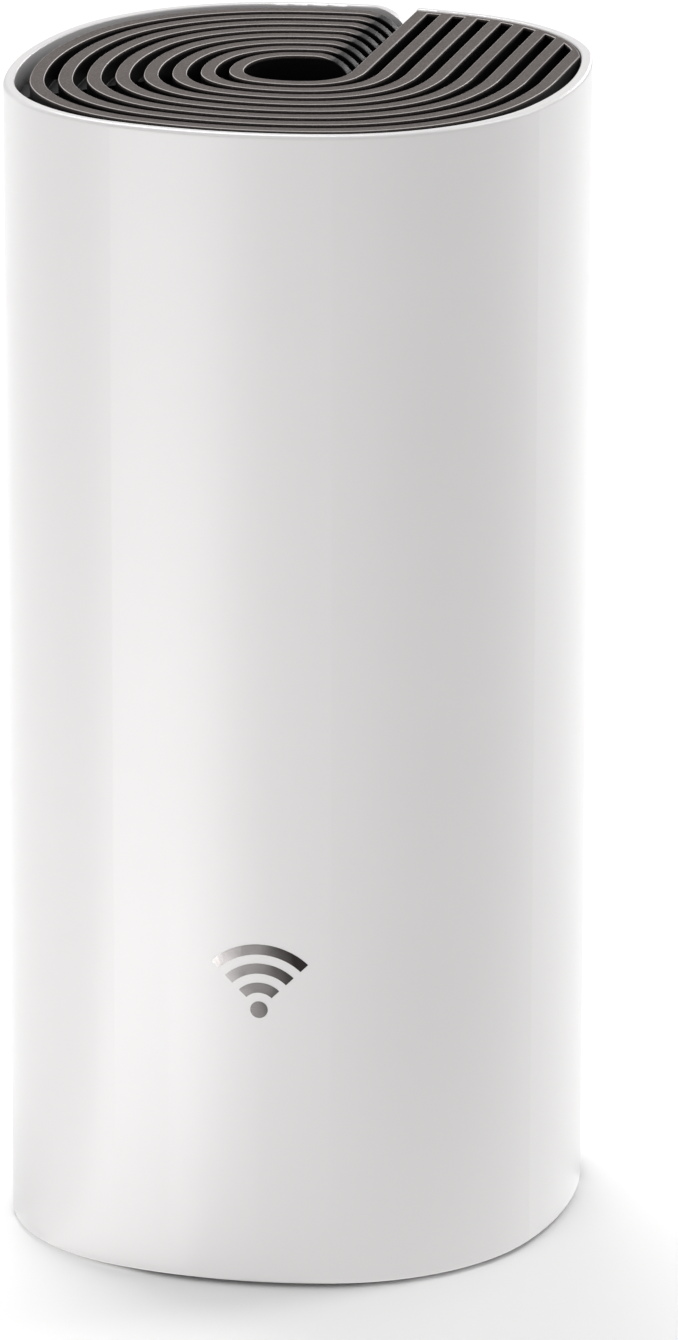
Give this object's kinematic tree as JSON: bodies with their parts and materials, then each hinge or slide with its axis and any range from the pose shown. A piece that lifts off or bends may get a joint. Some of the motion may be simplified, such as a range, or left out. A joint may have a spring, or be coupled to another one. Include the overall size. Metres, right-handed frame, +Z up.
{
  "type": "mesh wifi node",
  "caption": "Tall white rounded-square wireless node with a dark spiral vent grille on top and a cable bay under its base.",
  "frame": {"origin": "centre of the foot's underside, where the node stands on a table", "axes": "+Z up along the body; -Y is the front face and +Y the back, with the cable exit; +X is right seen from the front"},
  "size_m": [0.0906, 0.0906, 0.19],
  "materials": {
    "white_plastic": "satin moulded shell",
    "grille_plastic": "fine textured",
    "deck_plastic": "fine textured",
    "tray_plastic": "satin",
    "rubber": "soft matt",
    "label_film": "printed film left blank",
    "circuit_board": "solder mask",
    "chip_resin": "moulded resin",
    "thermal_pad": "soft",
    "aluminium": "as extruded",
    "tinned_steel": "tinned",
    "contact_gold": "plated",
    "socket_blue": "moulded",
    "black_plastic": "moulded",
    "red_plastic": "moulded",
    "ivory_plastic": "moulded",
    "clear_plastic": "frosted",
    "spring_steel": "rolled",
    "lead_jacket": "smooth jacket",
    "screw_steel": "zinc plated"
  },
  "bodies": {
    "housing": {"antenna_1": "contact_gold", "antenna_2": "contact_gold", "antenna_3": "contact_gold", "antenna_4": "contact_gold", "antenna_5": "contact_gold", "antenna_6": "contact_gold", "antenna_lead_1": "lead_jacket", "antenna_lead_2": "lead_jacket", "antenna_lead_3": "lead_jacket", "antenna_lead_4": "lead_jacket", "antenna_lead_5": "lead_jacket", "antenna_lead_6": "lead_jacket", "base_screws": "screw_steel", "base_tray": "tray_plastic", "capacitors": "aluminium", "deck_screws": "screw_steel", "foot_ring": "rubber", "front_antenna_carrier": "deck_plastic", "front_heatsink": "aluminium", "heatsink_screws": "screw_steel", "inlet_pin": "contact_gold", "inlet_spring": "tinned_steel", "lead_plugs": "tinned_steel", "led_board": "circuit_board", "left_rail": "deck_plastic", "light_lead": "lead_jacket", "light_pipe": "clear_plastic", "main_board": "circuit_board", "memory_chips": "chip_resin", "network_contacts_1": "contact_gold", "network_contacts_2": "contact_gold", "network_shell_1": "tinned_steel", "network_shell_2": "tinned_steel", "network_socket_1": "socket_blue", "network_socket_2": "socket_blue", "network_transformers": "chip_resin", "outer_sleeve": "white_plastic", "power_coils": "chip_resin", "power_inlet": "black_plastic", "processor": "chip_resin", "processor_pad": "thermal_pad", "radio_chips": "chip_resin", "radio_pads": "thermal_pad", "radio_shields": "tinned_steel", "rail_screws": "screw_steel", "rating_label": "label_film", "rear_antenna_carrier": "deck_plastic", "rear_heatsink": "aluminium", "right_rail": "deck_plastic", "status_led": "chip_resin", "switch_case": "tinned_steel", "switch_terminals": "contact_gold", "tact_case": "black_plastic", "tact_dome": "spring_steel", "top_deck": "deck_plastic", "top_grille": "grille_plastic"},
    "power_slider": {"power_slider": "black_plastic"},
    "reset": {"reset_button": "red_plastic", "tact_plunger": "ivory_plastic"}
  },
  "joints": [
    {"name": "power_slide", "type": "slide", "parent": "housing", "child": "power_slider", "axis": [1, 0, 0], "range_m": [0, 0.003]},
    {"name": "reset_press", "type": "slide", "parent": "housing", "child": "reset", "axis": [0, 0, 1], "range_m": [0, 0.0006], "stiffness_N_per_m": 1200, "springref_m": -0.0004, "deforming": ["tact_dome"]}
  ]
}
